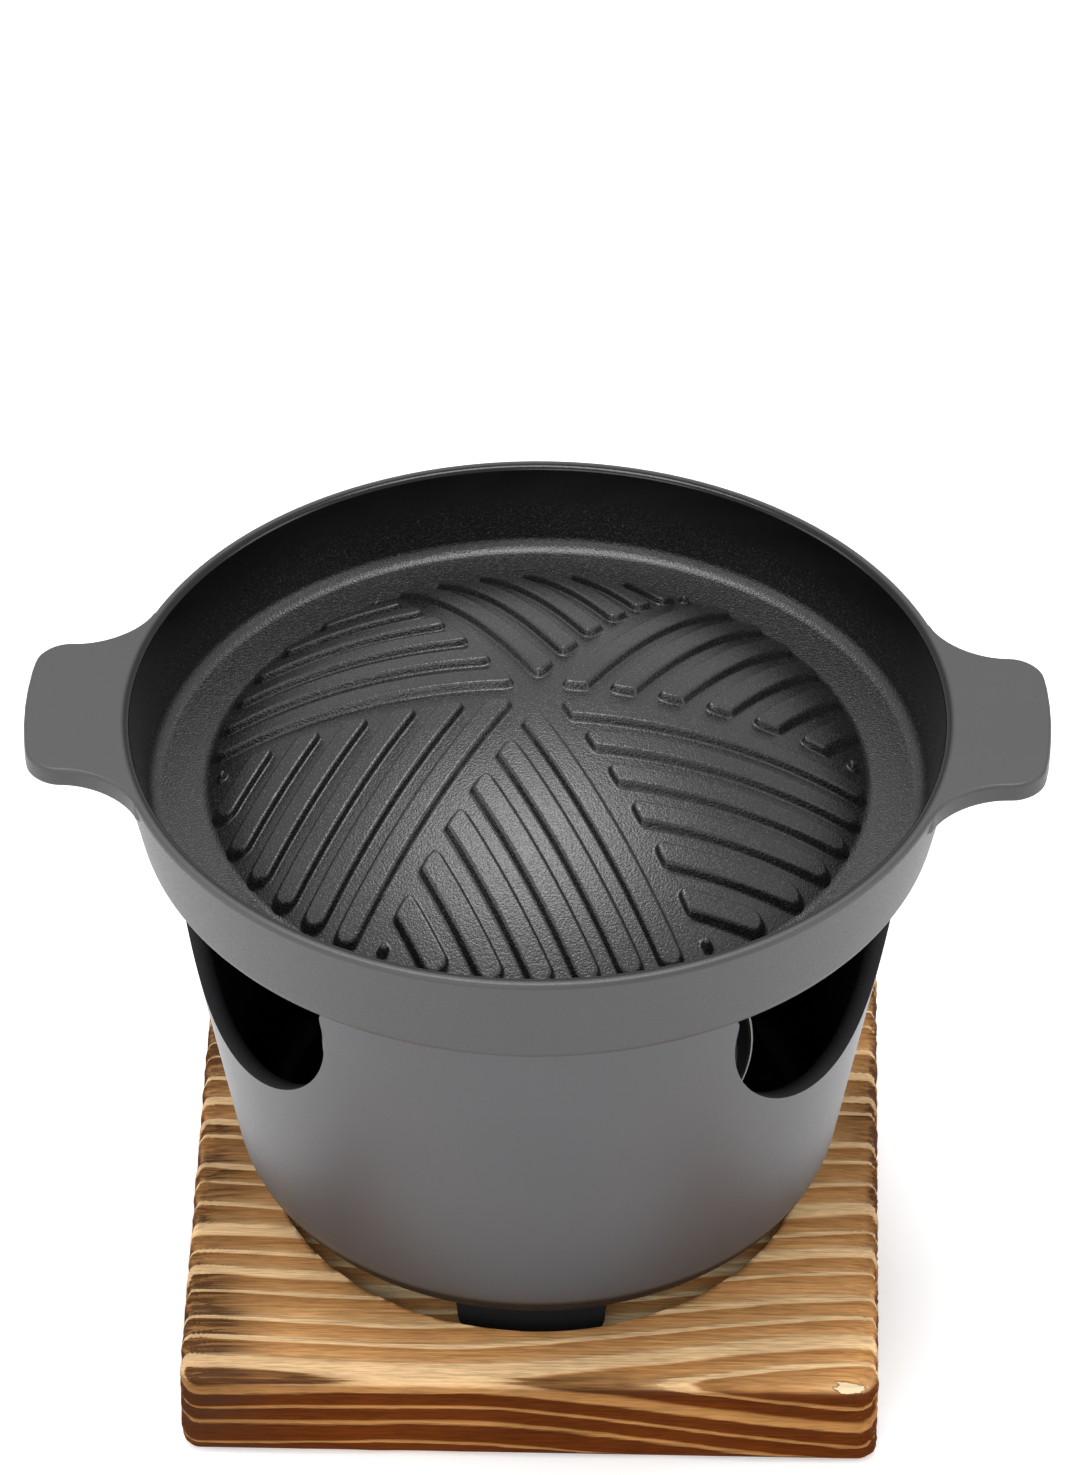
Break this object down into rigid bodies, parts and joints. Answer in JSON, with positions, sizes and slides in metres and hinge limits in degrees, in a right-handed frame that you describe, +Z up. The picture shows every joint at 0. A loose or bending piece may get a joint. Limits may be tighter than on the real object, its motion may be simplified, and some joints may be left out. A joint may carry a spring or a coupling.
{
  "type": "tabletop hibachi grill",
  "caption": "Tabletop grill: round pan with ears and a ribbed dome on a scalloped cast stove, a loose sheet-metal fuel cup inside and a square wooden base with a round recess.",
  "frame": {"origin": "centre of the wooden base's underside", "axes": "+Z up; the front post of the stove is towards -Y and the pan's ears point along +X and -X"},
  "size_m": [0.2, 0.1646, 0.1395],
  "materials": {
    "scorched_wood": "scorched and brushed softwood with stripes of grain",
    "cast_stove": "matt dark grey coating outside, near black inside",
    "burner_steel": "bright spun stainless sheet",
    "nonstick_pan": "matt charcoal non-stick coating with a fine sparkle"
  },
  "bodies": {
    "base": {"wooden_base": "scorched_wood"},
    "stove": {"stove_body": "cast_stove"},
    "burner": {"burner_cup": "burner_steel"},
    "pan": {"grill_pan": "nonstick_pan"}
  },
  "joints": [
    {"name": "stove_lift", "type": "slide", "parent": "base", "child": "stove", "axis": [0, 0, 1], "range_m": [0, 0.024]},
    {"name": "burner_lift", "type": "slide", "parent": "stove", "child": "burner", "axis": [0, 0, 1], "range_m": [0, 0.036]},
    {"name": "pan_lift", "type": "slide", "parent": "stove", "child": "pan", "axis": [0, 0, 1], "range_m": [0, 0.086]}
  ]
}
